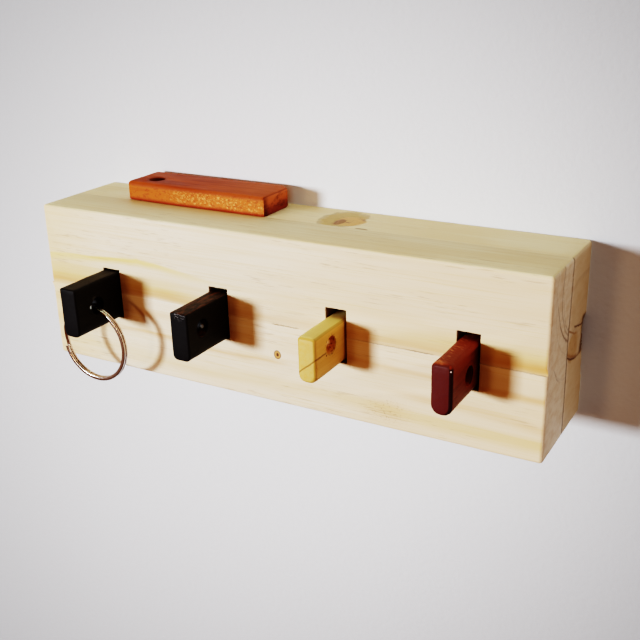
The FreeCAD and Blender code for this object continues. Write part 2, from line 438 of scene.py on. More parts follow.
def slab(name, axis, low, high, outline, holes=(), between=(), pockets=(), adjust=None):
    """
    A piece sawn from a board: an outline with holes, carried through one axis from low to high, its edges
    eased. Between gives further layers, pockets are blind holes in the far face, as loops of points that run
    against the outline, with their depths, and adjust moves a point.
    """
    verts, faces, ends = [], [], ([], [])

    def put(flat, level):
        place = Vector((*flat[:axis], level, *flat[axis:]))
        verts.append((adjust(place) if adjust else place) * MM)

    for loop in (outline, *holes):
        count, rings = len(loop), []
        quarter = [math.pi / 2 * step / EASE_STEPS for step in range(EASE_STEPS + 1)]
        layers = [("near", turn) for turn in quarter] + [("mid", level) for level in between]
        layers += [("far", turn) for turn in reversed(quarter)]
        for kind, where in layers:
            rings.append(len(verts))
            for index, (point, near, far) in enumerate(loop):
                before, after = loop[index - 1][0], loop[(index + 1) % count][0]
                sides = [Vector((-run.y, run.x)).normalized() for run in (point - before, after - point)]
                inward = (sides[0] + sides[1]) / (1 + sides[0].dot(sides[1]))
                ease = {"near": near, "far": far, "mid": 0}[kind]
                level = {"near": low + ease * (1 - math.cos(where)), "mid": where,
                         "far": high - ease * (1 - math.cos(where))}[kind]
                put(point + inward * ease * (1 - math.sin(where)), level)
        for first, second in zip(rings, rings[1:]):
            faces += between_rings(first, second, count)
        ends[0].append(range(rings[0], rings[0] + count))
        ends[1].append(range(rings[-1], rings[-1] + count))
    for loop, depth in pockets:
        mouth = len(verts)
        for level in (high, high - depth):
            for point in loop:
                put(point, level)
        count = len(loop)
        faces += between_rings(mouth, mouth + count, count)
        ends[1].append(range(mouth, mouth + count))
        faces.append(tuple(range(mouth + count, mouth + 2 * count)))
    sides = len(faces)
    for loops in ends:
        flat_axes = [k for k in range(3) if k != axis]
        flats = [[Vector((*(verts[i][k] for k in flat_axes), 0)) / MM for i in loop] for loop in loops]
        order = [i for loop in loops for i in loop]
        parts = shared_out(flats) if len(loops) > 1 else [tuple(range(len(order)))]
        faces += [tuple(order[i] for i in part) for part in parts]
    mesh = closed_mesh(name, verts, faces)
    smoothed(mesh, 38, sides)
    return placed(name, mesh)


def ragged(least, most, scale, seed=0):
    """An ease that wanders between two sizes along an edge."""
    def size(place):
        wander = noise.noise(Vector((place.x * scale, place.y * scale, seed))) * 0.5 + 0.5
        return least + (most - least) * min(max(wander, 0), 1)
    return size


def stand_in(piece, node, material, body="holder"):
    """Shows a finished piece in place of its plain solid."""
    piece.data.materials.append(material)
    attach(piece, body)
    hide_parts(node)


# The glue has let the joint between the strips open a little along these stretches, and the joint with the
# board behind stands open down the right end. Each point is a place, a height and how dark the gap is.
OPEN_STRETCHES = ((3.0, 10.5), (45.0, 52.0), (70.0, 83.0))
OPEN_GLUE = [(at, GLUE_LINE, dark) for at, dark in (
    (2.0, 0), (3.5, 0.8), (10.5, 0.7), (11.5, 0), (29.0, 0.2), (36.0, 0.5), (44.0, 0.35), (45.5, 0.85),
    (51.5, 0.7), (53.0, 0.15), (70.0, 0.35), (83.0, 0.6),
)]
OPEN_END = ((-25.0, -16.4, 0.75), (-14.0, -16.5, 0.8), (-4.0, -16.8, 0.9), (2.0, -17.3, 0.7),
            (6.0, -17.1, 0.9), (12.0, -16.8, 0.8), (20.0, -16.7, 0.75), (25.0, -16.6, 0.7))


def glued(place):
    """The easing of the joint between the strips: next to none, and ragged where it stands open."""
    stands_open = any(start < place.x < end for start, end in OPEN_STRETCHES)
    return 0.12 + 0.14 * noise.noise(Vector((place.x * 1.3, 0, 3))) if stands_open else 0.03


def strip(name, base, top, notch_to):
    """A front strip, with its half of each slot cut into the edge that is glued."""
    sanded, worn = ragged(0.65, 1.0, 0.08, 1), ragged(0.8, 1.2, 0.1, 2)
    chipped, sawn = ragged(0.10, 0.60, 0.7, 4), ragged(0.1, 0.35, 0.6, 5)
    upper = notch_to > GLUE_LINE
    way = 1 if upper else -1
    half = way * SLOT_WIDTH / 2
    notches = []
    for middle in slot_middles[::way]:
        near, far = middle - half, middle + half
        notches += [
            Corner((near, GLUE_LINE), 0, 0.8, sawn), Corner((near, notch_to), 0, 0.35, chipped),
            Corner((far, notch_to), 0, 0.8, sawn), Corner((far, GLUE_LINE), 0, 1.0, glued),
        ]
    if upper:
        corners = [
            Corner((LEFT, base), 0, 1.0, glued), *notches, Corner((RIGHT, base), 0, 2, worn),
            Corner((RIGHT, top), END_ROUND, 3, sanded), Corner((LEFT, top), END_ROUND, 2, worn),
        ]
    else:
        corners = [
            Corner((LEFT, base), END_ROUND, 3, sanded), Corner((RIGHT, base), END_ROUND, 2, worn),
            Corner((RIGHT, top), 0, 1.0, glued), *notches, Corner((LEFT, top), 0, 2, worn),
        ]
    return slab(name, 1, FRONT, JOINT, walk(corners))


def torn(place):
    """Moves a point of the right end inwards where the corner behind has torn out with its knot."""
    share = 0
    for (low, first), (high, second) in zip(TEAR_SHARES, TEAR_SHARES[1:]):
        if low <= place.z < high:
            share = first + (second - first) * (place.z - low) / (high - low)
    splinters = noise.noise(Vector((0, place.y * 0.9, place.z * 1.3)))
    share *= 1 + 0.3 * splinters
    if share <= 0 or place.x < RIGHT - END_ROUND:
        return place
    left = max(0, 1 - (WALL - place.y) / (TEAR_REACH * share))
    return Vector((place.x - TEAR_DEPTH * share * math.sqrt(left), place.y, place.z))


def back_board():
    """The wide board behind, with the slots right through it and two blind holes to hang it by."""
    open_joint, tight = ragged(0.10, 0.9, 0.3, 6), ragged(0.03, 0.12, 0.3, 7)
    outline = walk([
        Corner((LEFT, BASE), END_ROUND, 4, tight), Corner((RIGHT, BASE), END_ROUND, 0.5, open_joint),
        Corner((RIGHT, TOP), END_ROUND, 4, tight), Corner((LEFT, TOP), END_ROUND, 4, tight),
    ])
    half = SLOT_WIDTH / 2
    slots = [walk([
        Corner((middle - half, SLOT_FLOOR)), Corner((middle - half, SLOT_TOP)),
        Corner((middle + half, SLOT_TOP)), Corner((middle + half, SLOT_FLOOR)),
    ]) for middle in slot_middles]
    turns = [-2 * math.pi * step / HANG_HOLE_SIDES for step in range(HANG_HOLE_SIDES)]
    pockets = []
    for mount in frame["record"]["mounts"]:
        if mount["name"].startswith("hang_hole"):
            centre = Vector((mount["pos_m"][0] / MM, mount["pos_m"][2] / MM))
            rim = [centre + HANG_HOLE_RADIUS * Vector((math.cos(turn), math.sin(turn))) for turn in turns]
            pockets.append((rim, HANG_HOLE_DEPTH))
    layers = [WALL - FIRST_TEAR_LAYER + TEAR_LAYER_GAP * step for step in range(TEAR_LAYERS)]
    return slab("back_board_wood", 1, JOINT, WALL, outline, slots, layers, pockets, torn)


def band(along, height, points, above, below):
    """How far a place lies in a soft band that runs through points of place, height and strength."""
    offset = height - along.path([(at, level) for at, level, _ in points])
    share = along.path([(at, strength) for at, _, strength in points])
    return offset.rise(above, 0) * offset.rise(-below, 0) * share


def pine(name, pith, bulge, rings, bands=(), marks=(), knots=(), rough=None):
    """
    Bare pine. Pith is where the rings' middle lies, in y and z, and bulge a swelling of the rings: its x,
    its reach and its height. Each ring is its radius, its width and its strength. Bands colour the front,
    marks the right end, knots sit anywhere, and rough is where the plane tore the front: its place and reach.
    """
    material, shader, place, facing = finish(name)
    x, y, z = place.axes()
    across, out, up = facing.axes()
    ripple = place.noise((0.03, 0.3, 0.3), 2) * 1.6 - 0.8
    drift = place.noise((0.012, 0.06, 0.06), 2) * 3 - 1.5
    swell = x.near(bulge[0], bulge[1]) * bulge[2]
    radius = ((y - pith[0]) ** 2 + (z - pith[1]) ** 2) ** 0.5 + swell + ripple * 0.5 + drift
    front = (0 - out).rise(0.35, 0.8)
    ends = across.size().rise(0.45, 0.8)

    streak = place.noise((0.03, 0.7, 0.7), 3)
    hair = place.noise((0.025, 2.6, 2.6), 3, 0.6)
    cloud = place.noise((0.02, 0.09, 0.09), 2)
    wood = place.mixed(CREAM, CREAM_DEEP, streak.rise(0.38, 0.72) * 0.4)
    wood = wood.over(CREAM_DEEP, (cloud.rise(0.4, 0.75) * 0.3 + x.rise(-20, 100) * 0.55).at_most(1))
    # Painted shade: the left end is darkened and yellowed towards the corner of the view, as a lens darkens
    # it
    wood = wood.over(BUFF, x.rise(-50, -88) * 0.5)
    wood = wood.over(BUFF, hair.rise(0.5, 0.7) * 0.42)
    lines = front * 0
    for at, width, strength in rings:
        late = radius.rise(at - width, at) * radius.rise(at + width * 0.35, at)
        wood = wood.over(TAN, late * strength * (1 - front) * 0.07)
        lines = lines.at_least(late * strength)
    clouded = (cloud + (hair - 0.5) * 0.8 + x.near(25, 70) * 0.22).rise(0.45, 0.8)
    top = place.mixed(TOP_PALE, TOP_DEEP, clouded)
    wood = wood.over(top, up.rise(0.5, 0.9) * 0.6)
    waver = place.noise((0.06, 0.25, 0.25), 3) * 1.8 - 0.9
    for colour, above, below, points in bands:
        shade = band(x, z + waver, points, above, below) * front * (streak * 0.7 + 0.65)
        wood = wood.over(colour, shade.at_most(1))
    patches = place.noise((0.03, 0.14, 0.14), 2).rise(0.44, 0.6)
    dashes = place.noise((0.14, 2.4, 2.4), 2, 0.6).rise(0.58, 0.70) * patches
    wood = wood.over(RESIN, dashes * 0.44)

    mottle = place.noise((0.4, 0.25, 0.5), 4, 0.65)
    mottled = (mottle.rise(0.35, 0.7) * 0.7 + z.rise(-16, 22) * 0.3).at_most(1)
    end_wood = place.mixed(END_PALE, END_DEEP, mottled)
    # Painted shade: the end grows darker towards the wall that the back board lies against
    end_wood = end_wood.over(END_SHADE_BY_WALL, y.rise(-17.6, -13.0) * 0.62)
    end_wood = end_wood.over(END_LINE, lines.rise(0.3, 0.9) * 0.6)
    wood = wood.over(end_wood, ends)
    jitter = place.noise((0.9, 0.9, 0.9), 3, 0.65) * 0.9 - 0.45
    sunk = streak * 0.05 - dashes * 0.04 + lines * ends * 0.06
    if rough:
        (mark_x, mark_z), (reach_x, reach_z) = rough
        patch = x.near(mark_x, reach_x) * z.near(mark_z, reach_z) * front
        specks = place.flecks((1.3, 1.3, 1.3)).rise(0.35, 0.1)
        wood = wood.over(TAN, patch * 0.25)
        wood = wood.over(RESIN, patch * specks * 0.5)
        sunk = sunk - patch * specks * 0.25

    half_slot = SLOT_WIDTH / 2 + 0.04
    sawn = x.within(slot_middles[0] - half_slot, slot_middles[0] + half_slot, 0.08)
    for middle in slot_middles[1:]:
        sawn = sawn.at_least(x.within(middle - half_slot, middle + half_slot, 0.08))
    inside = sawn * z.within(SLOT_FLOOR - 0.06, SLOT_TOP + 0.06, 0.08) * y.rise(FRONT - 0.1, FRONT + 0.8)
    # The insides of the slots are painted dark: saw burn, and painted shade deep in the cuts
    wood = wood.over(SAW_BURN_AND_SHADE, inside * 0.85)

    for centre, radii, heart, edge, figure in knots:
        away = ((place - centre) / radii).length() + place.noise((0.35, 0.35, 0.35), 3) * 0.5 - 0.25
        browned = place.noise((0.3, 0.55, 0.55), 4, 0.7).rise(0.5, 0.68) * figure
        core = place.mixed(heart, KNOT_BROWN, browned)
        wood = wood.over(core, away.rise(1.06, 0.76))
        wood = wood.over(KNOT_DARK, away.near(0.93, 0.14) * edge)
        sunk = sunk - away.near(0.93, 0.16) * 0.2
    for colour, reach, points in marks:
        mark = band(y, z + jitter, points, reach, reach) * across.rise(0.4, 0.8)
        wood = wood.over(colour, mark)
        sunk = sunk - mark * 0.15
    jagged = place.noise((1.1, 1.1, 1.1), 3, 0.6) * 0.5 - 0.25
    open_glue = band(x, z + jagged, OPEN_GLUE, 0.28, 0.28) * front
    pale_seam = (z - 0.2 + jagged * 0.4).near(GLUE_LINE, 0.42) * x.within(-56, -14, 2) * front
    wood = wood.over(SEAM_PALE, pale_seam * 0.55)
    wood = wood.over(GLUE_DARK, open_glue)
    open_end = band(z, y + jagged * 1.4, OPEN_END, 1.0, 0.8) * across.rise(0.3, 0.8)
    wood = wood.over(GLUE_DARK, open_end)
    # The torn hollow at the back of the right end is painted dark: bark, and painted shade in the hollow
    hollow = (y + jagged * 3 - z.rise(-9, 1) * 1.6).rise(-6.6, -4.4)
    hollow = hollow * (z + jagged * 3).within(-4.5, 4.4, 1.6)
    wood = wood.over(BARK_AND_SHADE, hollow * across.rise(0.0, 0.3) * y.rise(-12, -8) * 0.9)
    paint(shader, Base_Color=wood, Roughness=streak * 0.15 + 0.5, Normal=relief(sunk, 0.6),
          Specular_IOR_Level=0.3)
    return material


# The back board lies against the wall. A knot crosses its top face near the middle, and another sits in its
# right end, where the corner behind has torn out.
stand_in(back_board(), "back_board", pine(
    "back_board_pine", (-4, -40), (0, 60, 1.5),
    [(40, 3, 0.3), (45, 3, 0.5), (51, 3.5, 0.4), (58, 4, 0.5)],
    (),
    [(KNOT_BROWN, 0.55, ((-17.0, 5.5, 0.9), (-12.0, 3.2, 0.8), (-8.0, 2.0, 0.2))),
     (KNOT_DARK, 0.55, ((-12.2, 5.2, 0.0), (-11.5, 4.9, 0.8), (-8.0, 3.9, 0.9), (-5.0, 3.2, 0.9))),
     (KNOT_BROWN, 0.9, ((-16.8, -1.2, 0.7), (-13.5, -3.0, 0.8), (-10.0, -4.3, 0.8), (-6.5, -5.0, 0.4))),
     (KNOT_DARK, 0.6, ((-16.8, -2.2, 0.8), (-13.5, -3.8, 1), (-10.0, -4.9, 1), (-6.5, -5.4, 0.5)))],
    [((13.2, -9.5, 25.5), (7.0, 9.0, 6), KNOT_OLIVE, 0.22, 0.25),
     ((16.2, -10.6, 25.5), (4.8, 5.4, 4), KNOT_TAN, 0.0, 1.0),
     ((13.4, -12.4, 25.5), (1.7, 3.2, 4), KNOT_BROWN, 0.0, 0.0),
     ((22.5, -16.4, 25.5), (2.2, 0.7, 2), RESIN, 0.0, 0.0),
     ((84, -12.0, -0.8), (9, 5.4, 4.4), KNOT_PALE, 0.0, 0.45)],
))

# The upper strip is glued on the front of the back board and carries the upper half of each slot. A wide
# yellow band of late wood runs over the joint below it, and a narrow one waves across its left half.
stand_in(strip("upper_strip_wood", GLUE_LINE, TOP, SLOT_TOP), "upper_front_strip", pine(
    "upper_strip_pine", (-10, 18), (-50, 40, -1.2),
    [(12, 2, 0.4), (15.7, 1.5, 0.7), (20.5, 1.5, 0.5), (25, 2, 0.4)],
    [(YELLOW, 0.9, 2.4, ((-83, 9.2, 0.7), (-72, 10.0, 0.75), (-58, 10.9, 0.85), (-46, 12.0, 0.9),
                         (-38, 11.0, 0.8), (-30, 10.0, 0.45), (-18, 9.0, 0.15), (0, 8.4, 0))),
     (BUFF, 6.5, 3.2, ((-83, 3.0, 0.9), (-70, 3.2, 0.9), (-58, 3.2, 0.8), (-35, 3.0, 0.8), (-20, 2.4, 0.4),
                       (0, 2.0, 0))),
     (BUFF, 5.0, 3.5, ((20, 2.0, 0), (40, 2.6, 0.4), (60, 3.4, 0.7), (72, 3.2, 0.9), (83, 3.0, 0.9))),
     (TAN, 2.8, 2.6, ((-83, 1.2, 0.6), (-60, 1.4, 0.6), (-35, 1.6, 0.7), (-20, 1.2, 0.4), (-5, 1.0, 0.4),
                      (12, 0.8, 0.3), (30, 0.8, 0.45), (45, 0.8, 0.5), (60, 0.9, 0.6), (72, 1.2, 0.9),
                      (83, 1.2, 1.0)))],
    [(END_LINE, 0.75, ((-29.5, 18.0, 0), (-28.5, 15.5, 0.55), (-25.4, 9.7, 0.75), (-22.3, 6.2, 0.75),
                       (-19.2, 3.9, 0.75), (-17.0, 2.8, 0.6))),
     (END_LINE, 0.6, ((-25.0, 22.5, 0), (-23.8, 16.5, 0.45), (-22.4, 12.0, 0.5), (-20.6, 8.6, 0.5),
                      (-18.4, 6.4, 0.4)))],
))

# The lower strip is glued under the upper one and carries the lower half of each slot. It has one pin knot
# between the second and third fob, and a patch that the plane tore.
stand_in(strip("lower_strip_wood", BASE, GLUE_LINE, SLOT_FLOOR), "lower_front_strip", pine(
    "lower_strip_pine", (-14, 12), (20, 70, 0.8),
    [(19.5, 1.5, 0.5), (25, 2, 0.4), (31, 2, 0.4), (37.5, 2.0, 0.3)],
    [(TAN, 1.5, 2.0, ((-60, -4.8, 0.2), (-20, -5.2, 0.25), (0, -5.8, 0.1), (20, -6.0, 0.2),
                      (34, -6.8, 0.35), (50, -7.0, 0.35), (65, -7.8, 0.5), (83, -7.6, 0.6))),
     (TAN, 1.3, 1.9, ((-60, -11.6, 0.3), (-44, -11.4, 0.5), (-34, -11.8, 0.45), (-22, -12.6, 0.5),
                      (-8, -12.8, 0.5), (2, -12.4, 0.4), (9, -12.2, 0))),
     (TAN, 2.4, 2.6, ((34, -13, 0), (50, -13.8, 0.3), (62, -13.8, 0.3), (74, -14.6, 0.25),
                      (83, -16, 0.25))),
     (BUFF, 2.6, 3.4, ((-60, -19, 0.25), (-20, -20, 0.25), (20, -18.5, 0.2), (50, -20, 0.6),
                       (83, -20.5, 0.8)))],
    [(END_LINE, 0.55, ((-28.5, -1.0, 0), (-27.7, -1.8, 0.35), (-25.8, -4.3, 0.45), (-23.0, -6.4, 0.2),
                       (-21.0, -7.4, 0)))],
    [((3.8, FRONT, -9.95), (1.15, 3.0, 1.35), PIN_KNOT, 0.9, 0.0),
     ((3.8, FRONT, -9.95), (0.42, 3.0, 0.6), KNOT_DARK, 0.0, 0.0)],
    ((39, -20), (10, 6)),
))


# The seated fobs are hardwood slips that stand on edge in the slots, each with a drilled hole for a ring.
# They were cut, rounded and stained or oiled by hand, so that no two are alike.
Slip = namedtuple("Slip", "node hole_from_end hole_above_base base_round top_round end_round material slot")
HOLE_RADIUS = 2.6
HOLE_EASE = 0.35
HAND_WANDER = 0.14
BACK_ROUND = 0.5


def drilled(piece, at, axis, low, high, count=40):
    """Drills a hole with eased rims through a piece, between two levels along an axis."""
    turns = [math.pi / 2 * step / 3 for step in range(4)]
    flare = [(HOLE_EASE * (1 - math.sin(turn)), HOLE_EASE * (1 - math.cos(turn))) for turn in turns]
    # The drill flares a hair beyond each face, so that the cut is clean
    flare[0] = (flare[0][0], -0.01)
    profile = [(low - 1, HOLE_EASE), *((low + depth, wide) for wide, depth in flare)]
    profile += [(high - depth, wide) for wide, depth in reversed(flare)] + [(high + 1, HOLE_EASE)]
    verts, faces = [], []
    for level, wide in profile:
        for step in range(count):
            turn = 2 * math.pi * step / count
            radius = HOLE_RADIUS + wide
            flat = (at[0] + radius * math.cos(turn), at[1] + radius * math.sin(turn))
            verts.append(Vector((*flat[:axis], level, *flat[axis:])) * MM)
    for ring in range(len(profile) - 1):
        faces += between_rings(ring * count, (ring + 1) * count, count)
    faces += [tuple(range(count)), tuple(range(len(verts) - count, len(verts)))]
    drill = placed("drill", closed_mesh("drill", verts, faces))
    cut = piece.modifiers.new("hole", "BOOLEAN")
    cut.operation, cut.solver, cut.object = "DIFFERENCE", "EXACT", drill
    bpy.context.view_layer.update()
    whole = piece.evaluated_get(bpy.context.evaluated_depsgraph_get())
    piece.data = bpy.data.meshes.new_from_object(whole)
    piece.modifiers.clear()
    bpy.data.objects.remove(drill)
    smoothed(piece.data, 32)


def seated_fob(slip, seed):
    """A slip on edge: its rounded section carried from the front end back to the wall, then drilled."""
    low, high = (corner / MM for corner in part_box(slip.node))
    places = ((low.x, low.z), (high.x, low.z), (high.x, high.z), (low.x, high.z))
    rounds = (slip.base_round, slip.base_round, slip.top_round, slip.top_round)
    outline = walk([Corner(at, bend, 0.9, slip.end_round, BACK_ROUND) for at, bend in zip(places, rounds)])

    def by_hand(place):
        """A point of the slip, moved a little towards its middle as the hand-cut edges wander."""
        along = Vector((place.y * 0.16, place.z * 0.3, seed))
        width = HAND_WANDER * (noise.noise(along) * 0.5 + 0.5)
        drop = HAND_WANDER * 2 * (noise.noise(Vector((place.y * 0.13, seed, 7))) * 0.5 + 0.5)
        middle = (low + high) / 2
        across = (place.x - middle.x) / (high.x - middle.x)
        rise = (place.z - middle.z) / (high.z - middle.z)
        return Vector((place.x - across * width, place.y, place.z - rise * drop))

    count = round((high.y - low.y) / 1.2)
    layers = [low.y + slip.end_round + 0.4 + (high.y - low.y - 2) * step / count for step in range(count)]
    piece = slab(slip.node + "_slip", 1, low.y, high.y, outline, (), layers, (), by_hand)
    hole = (low.y + slip.hole_from_end, low.z + slip.hole_above_base)
    drilled(piece, hole, 0, low.x, high.x)
    stand_in(piece, slip.node, slip.material)


def spot(place, centre, reach):
    """1 at a place and 0 beyond a reach round it."""
    return ((place - centre) / (reach, reach, reach)).length().rise(1.0, 0.5)


def slip_finish(name, flesh, deep, top, end, rim, grain, figure, gloss, specular, hand):
    """
    Figured hardwood: the colours of its side, its dark grain, its top, its end and its edges, how its grain
    is stretched, how strong the figure is, how rough it is, and what was done to it by hand.
    """
    material, shader, place, facing = finish(name)
    streak = place.noise(grain, 3, 0.6)
    pores = place.noise(tuple(4 * g for g in grain), 2, 0.6).rise(0.58, 0.72)
    across, out, up = facing.axes()
    wood = place.mixed(flesh, deep, streak.rise(0.3, 0.7) * figure)
    wood = wood.over(deep, pores * figure * 0.6)
    capped = up.rise(0.45, 0.85)
    wood = wood.over(place.mixed(top, flesh, streak * 0.5), capped)
    ended = (0 - out).rise(0.6, 0.9)
    cut = place.noise((0.9, 0.9, 0.9), 3, 0.6).rise(0.35, 0.8) * 0.5
    wood = wood.over(place.mixed(end, deep, cut), ended)
    edge = across.size().at_least(out.size()).at_least(up.size()).rise(0.96, 0.86)
    wood = wood.over(rim, edge * 0.7)
    height = streak * 0.12 - pores * 0.1
    wood, height = hand(wood, height, place, facing)
    paint(shader, Base_Color=wood, Roughness=streak * 0.15 + gloss, Normal=relief(height, 0.5),
          Specular_IOR_Level=specular)
    return material


# Black stain, thin enough that the brown wood shows on the upper edge. It is scratched white at the second
# fob's upper front corner, and each hole has a painted highlight: a bright glint and a dull grey sheen.
SCRATCHED = (0.50, 0.48, 0.50)
BARE_BROWN = (0.105, 0.034, 0.015)
PAINTED_HOLE_SHEEN = (0.06, 0.058, 0.06)
PAINTED_HOLE_GLINT = (0.60, 0.80, 1.0)


def scratched_with_painted_glints(wood, height, place, facing):
    x, y, z = place.axes()
    up = facing.axes()[2]
    fine = place.noise((0.7, 1.0, 4.0), 3, 0.7).rise(0.57, 0.65)
    corner = y.rise(-51.6, -52.4) * z.rise(3.4, 5.4) * x.within(-17.2, -14.0, 0.4) * fine
    wood = wood.over(SCRATCHED, corner * 0.45)
    brown = place.noise((0.7, 0.22, 0.5), 4, 0.65).rise(0.38, 0.66) * up.rise(0.5, 0.9) * x.rise(-30, -25)
    wood = wood.over(BARE_BROWN, brown * 0.9)
    # Painted highlights: a bright glint and a dull grey sheen in and at the rim of each hole
    worn = spot(place, (-15.2, -43.32, -0.84), 0.8).at_least(spot(place, (-53.9, -47.0, -0.2), 0.7))
    painted_sheen = spot(place, (-54.3, -45.2, 1.8), 1.3).at_least(spot(place, (-15.0, -43.3, 0.6), 1.5))
    wood = wood.over(PAINTED_HOLE_SHEEN, painted_sheen * 0.6)
    return wood.over(PAINTED_HOLE_GLINT, worn), height - corner * 0.05


BLACK = slip_finish(
    "black_stain", (0.0090, 0.0058, 0.0045), (0.005, 0.003, 0.0025), (0.012, 0.0065, 0.0045),
    (0.0065, 0.0052, 0.0062), (0.008, 0.006, 0.006), (0.6, 0.08, 0.6), 0.6, 0.45, 0.10, scratched_with_painted_glints,
)


# Pale hardwood, oiled: a dark growth line crosses the end and turns along the side, and reddish flecks lie
# in and round the hole.
GROWTH_LINE = (0.24, 0.12, 0.02)
BORED_PALE = (0.66, 0.31, 0.07)
FLECK = (0.22, 0.05, 0.012)
PIT = (0.16, 0.05, 0.01)
PALE_HOLE = (23.05, -40.8, -0.05)


def marked(wood, height, place, facing):
    x, y, z = place.axes()
    wave = place.noise((0.5, 0.5, 0.5), 2) * 0.7 - 0.35
    line = (z + 1.1 - (x - 25.9) * 0.84 + wave).size().rise(0.42, 0.12) * y.rise(-42.5, -44.5)
    wood = wood.over(GROWTH_LINE, line * 0.8)
    away = ((place - PALE_HOLE) * (0.15, 1, 1)).length()
    flecks = place.noise((1.4, 1.4, 1.4), 3, 0.7).rise(0.5, 0.6)
    wood = wood.over(BORED_PALE, away.rise(2.75, 2.55))
    wood = wood.over(FLECK, away.rise(4.0, 2.6) * flecks * 0.65)
    wood = wood.over(PIT, spot(place, (25.9, -43.5, -2.0), 0.4))
    return wood, height - line * 0.1


PALE = slip_finish(
    "pale_hardwood", (0.78, 0.475, 0.13), (0.62, 0.32, 0.065), (0.78, 0.68, 0.29),
    (0.57, 0.40, 0.135), (0.44, 0.255, 0.045), (0.5, 0.05, 0.5), 0.45, 0.46, 0.2, marked,
)


# Red hardwood, oiled: the file has left bright strokes across its upper edge, and painted shade darkens
# the rounded edge between its end and its side.
STROKE = (0.80, 0.30, 0.11)
FILED = (0.62, 0.20, 0.08)
LIT_SIDE = (0.32, 0.045, 0.011)
PAINTED_SHADE_BY_SLOT = (0.03, 0.006, 0.004)
PAINTED_LIGHT_TOP_EDGE = (0.22, 0.030, 0.008)
PAINTED_SHADE_ROUND_EDGE = (0.018, 0.003, 0.003)
GLINT = (0.9, 0.75, 0.7)
FILE_SLANT = math.radians(24)


def filed_with_painted_light(wood, height, place, facing):
    x, y, z = place.axes()
    across, out, up = facing.axes()
    slant = {"Vector": place, "Angle": FILE_SLANT}
    turned = place.node("ShaderNodeVectorRotate", {"rotation_type": "Z_AXIS"}, slant)
    strokes = turned.noise((0.5, 3.0, 0.3), 3, 0.7).rise(0.56, 0.66) * up.rise(0.45, 0.9)
    wood = wood.over(STROKE, strokes * x.rise(63.6, 60.6) * 0.6)
    wood = wood.over(FILED, y.near(-49.6, 1.1) * x.rise(63.2, 61.2) * up.rise(0.4, 0.8) * 0.5)
    # Painted light: the upper side is lighter where light from above falls on it
    wood = wood.over(LIT_SIDE, z.rise(1.2, 4.6) * across.rise(0.5, 0.9) * y.rise(-37, -43) * 0.45)
    # Painted shade: the side is darker next to the slot
    wood = wood.over(PAINTED_SHADE_BY_SLOT, y.rise(-39, -33.5) * across.rise(0.3, 0.8) * 0.8)
    # Painted light: the rounded edge between the top and the side is lighter
    wood = wood.over(PAINTED_LIGHT_TOP_EDGE, across.rise(0.2, 0.45) * up.rise(0.12, 0.3))
    # Painted shade: a dark band down the rounded edge between the end and the side
    upright = across.rise(0.1, 0.3) * across.rise(0.985, 0.93)
    upright = upright * (0 - out).rise(0.12, 0.35) * z.rise(5.0, 4.4)
    wood = wood.over(PAINTED_SHADE_ROUND_EDGE, upright * 0.9)
    wood = wood.over(GLINT, spot(place, (64.15, -50.6, 4.0), 0.26))
    return wood, height - strokes * 0.12


RED = slip_finish(
    "red_hardwood", (0.190, 0.026, 0.008), (0.085, 0.010, 0.004), (0.24, 0.034, 0.008),
    (0.082, 0.012, 0.011), (0.070, 0.010, 0.006), (0.7, 0.07, 0.7), 0.5, 0.45, 0.15, filed_with_painted_light,
)

SLIPS = (
    Slip("black_fob_left", 9.0, 7.9, 1.9, 0.6, 0.5, BLACK, "black_wood"),
    Slip("black_fob_right", 6.9, 8.4, 1.6, 0.6, 0.5, BLACK, "black_wood"),
    Slip("pale_fob", 8.7, 8.4, 2.2, 1.2, 1.0, PALE, "pale_wood"),
    Slip("red_fob", 11.5, 6.8, 2.6, 1.5, 1.0, RED, "red_wood"),
)
for seed, slip in enumerate(SLIPS):
    seated_fob(slip, 10 * seed)


# The spare fob is an orange-brown slip of the same make, laid flat on top of the block with its hole to the
# left. The saw has torn the right part of its front edge, which shows bright flecks of bare wood.
LOOSE_CORNERS = (1.6, 1.4, 4.2, 1.6)
LOOSE_TOP_ROUND = 1.1
LOOSE_BASE_ROUND = 0.6
LOOSE_HOLE_FROM_END = 7.6
LOOSE_HOLE_FROM_FRONT = 6.8
LOOSE_WIDTH = 16.4
TAPER = 0.6
TAPER_LENGTH = 22
TORN_FROM = -42.0
TORN_FULLY = 12
PLUCKED_DEEP = 0.35
ORANGE = (0.38, 0.072, 0.010)
ORANGE_DEEP = (0.22, 0.030, 0.005)
ORANGE_HAIR = (0.58, 0.155, 0.035)
ORANGE_LIT = (0.52, 0.14, 0.03)
GOLD = (0.39, 0.105, 0.016)
GOLD_LIT = (0.47, 0.135, 0.028)
GOLD_GRAIN = (0.30, 0.06, 0.010)
GOLD_PAINTED_SHADE_FOOT = (0.20, 0.026, 0.006)
GOLD_BROW = (0.26, 0.050, 0.012)
GOLD_MOTTLE = (0.27, 0.05, 0.010)
BARE_FLECK = (0.86, 0.44, 0.17)
MAROON = (0.52, 0.135, 0.040)
MAROON_DEEP = (0.21, 0.033, 0.013)
MAROON_GRAIN = (0.06, 0.010, 0.006)
MAROON_CORNER = (0.05, 0.008, 0.005)
END_EDGE = (0.16, 0.030, 0.012)
BORED_ORANGE = (0.17, 0.042, 0.016)
RIM_ORANGE = (0.20, 0.04, 0.015)
LOOSE_HOLE = (-54.0, -10.7, 28.5)

spare_low, spare_high = (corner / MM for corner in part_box("loose_fob"))


